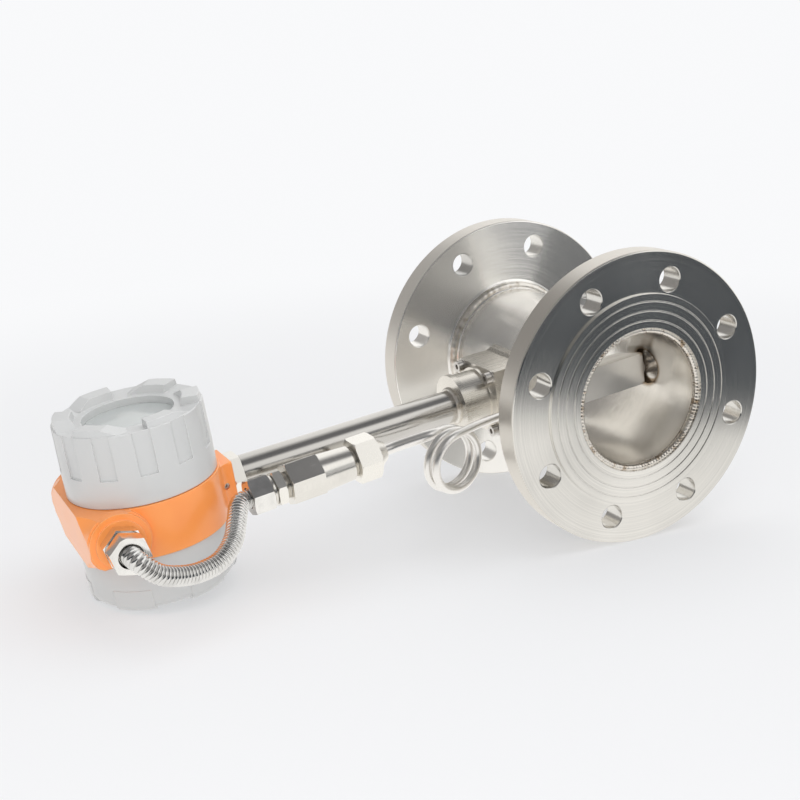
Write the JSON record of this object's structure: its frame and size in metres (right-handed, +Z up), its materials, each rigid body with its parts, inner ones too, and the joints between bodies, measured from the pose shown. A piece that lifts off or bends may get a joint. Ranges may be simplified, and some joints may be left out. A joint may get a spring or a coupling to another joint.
{
  "type": "flow meter",
  "caption": "Flanged vortex flow meter with a stem-mounted display housing, a pressure sensor on a pigtail tube and a flexible conduit.",
  "frame": {"origin": "on the axis of the flow bore, midway between the two sealing faces", "axes": "+X is the flow direction, +Z runs up the stem to the housing, and the display faces -Y"},
  "size_m": [0.205, 0.22, 0.512],
  "materials": {
    "tube_steel": "drawn and brushed stainless tube",
    "flange_steel": "turned stainless face",
    "block_steel": "milled and brushed stainless",
    "stem_steel": "polished stainless tube",
    "nut_steel": "bright stainless hexagon",
    "sensor_steel": "fine turned stainless",
    "pigtail_steel": "polished stainless tube",
    "conduit_chrome": "bright corrugated metal hose",
    "fitting_chrome": "bright plated hexagon",
    "screw_steel": "stainless fastener",
    "orange_paint": "gloss orange coating on cast aluminium",
    "grey_paint": "semi-gloss light grey coating on cast aluminium",
    "window_glass": "clear flat glass",
    "ring_metal": "plain turned ring",
    "seal_rubber": "black seal rubber",
    "gasket_grey": "grey gasket sheet",
    "lead_jacket": "black cable jacket",
    "gland_plastic": "dark grey polyamide",
    "board_green": "green circuit board",
    "lcd_glass": "grey-green display glass",
    "bezel_plastic": "pale grey moulded plate",
    "key_plastic": "blue-grey key cap",
    "terminal_plastic": "green moulded terminal block",
    "brass": "plain brass"
  },
  "bodies": {
    "meter": {"meter_tube": "tube_steel", "inlet_flange": "flange_steel", "outlet_flange": "flange_steel", "bluff_body": "tube_steel", "bar_plug": "tube_steel", "sensor_seat": "block_steel", "sensor_gasket": "gasket_grey", "sensor_probe": "sensor_steel", "bonnet": "block_steel", "bonnet_screws": "screw_steel", "bonnet_washers": "screw_steel", "stem_tube": "stem_steel", "sensor_lead": "lead_jacket", "stem_lock_nut": "nut_steel", "housing_body": "orange_paint", "neck_grub_screw": "screw_steel", "board_posts": "brass", "display_board": "board_green", "lcd_panel": "lcd_glass", "display_bezel": "bezel_plastic", "terminal_posts": "brass", "terminal_board": "board_green", "terminal_block": "terminal_plastic", "terminal_screws": "screw_steel", "ground_screw": "brass", "conduit_gland": "fitting_chrome", "conduit_gland_nut": "fitting_chrome", "flexible_conduit": "conduit_chrome", "conduit_end_nut": "fitting_chrome", "cable_gland": "gland_plastic", "cable_gland_nut": "gland_plastic", "cable_gland_seal": "seal_rubber", "pressure_sensor": "sensor_steel", "sensor_jam_nut": "nut_steel", "union_nut": "nut_steel", "pigtail_tube": "pigtail_steel", "pressure_tap": "sensor_steel"},
    "front_cover_body": {"front_cover": "grey_paint", "window_glass": "window_glass", "window_ring": "ring_metal"},
    "front_seal_slide": {"front_cover_seal": "seal_rubber"},
    "rear_cover_body": {"rear_cover": "grey_paint"},
    "rear_seal_slide": {"rear_cover_seal": "seal_rubber"},
    "left_key_body": {"left_key": "key_plastic"},
    "middle_key_body": {"middle_key": "key_plastic"},
    "right_key_body": {"right_key": "key_plastic"}
  },
  "joints": [
    {"name": "front_cover_travel", "type": "slide", "parent": "meter", "child": "front_seal_slide", "axis": [0, -1, 0], "range_m": [0, 0.01]},
    {"name": "front_cover_turn", "type": "hinge", "parent": "front_seal_slide", "child": "front_cover_body", "pos_m": [0, 0, 0.347], "axis": [0, -1, 0], "range_deg": [0, 1800]},
    {"name": "rear_cover_travel", "type": "slide", "parent": "meter", "child": "rear_seal_slide", "axis": [0, 1, 0], "range_m": [0, 0.01]},
    {"name": "rear_cover_turn", "type": "hinge", "parent": "rear_seal_slide", "child": "rear_cover_body", "pos_m": [0, 0, 0.347], "axis": [0, 1, 0], "range_deg": [0, 1800]},
    {"name": "left_key_press", "type": "slide", "parent": "meter", "child": "left_key_body", "axis": [0, 1, 0], "range_m": [0, 0.0005], "stiffness_N_per_m": 800},
    {"name": "middle_key_press", "type": "slide", "parent": "meter", "child": "middle_key_body", "axis": [0, 1, 0], "range_m": [0, 0.0005], "stiffness_N_per_m": 800},
    {"name": "right_key_press", "type": "slide", "parent": "meter", "child": "right_key_body", "axis": [0, 1, 0], "range_m": [0, 0.0005], "stiffness_N_per_m": 800}
  ],
  "couplings": [
    {"joint": "front_cover_travel", "follows": "front_cover_turn", "m_per_rad": 0.00031831},
    {"joint": "rear_cover_travel", "follows": "rear_cover_turn", "m_per_rad": 0.00031831}
  ]
}
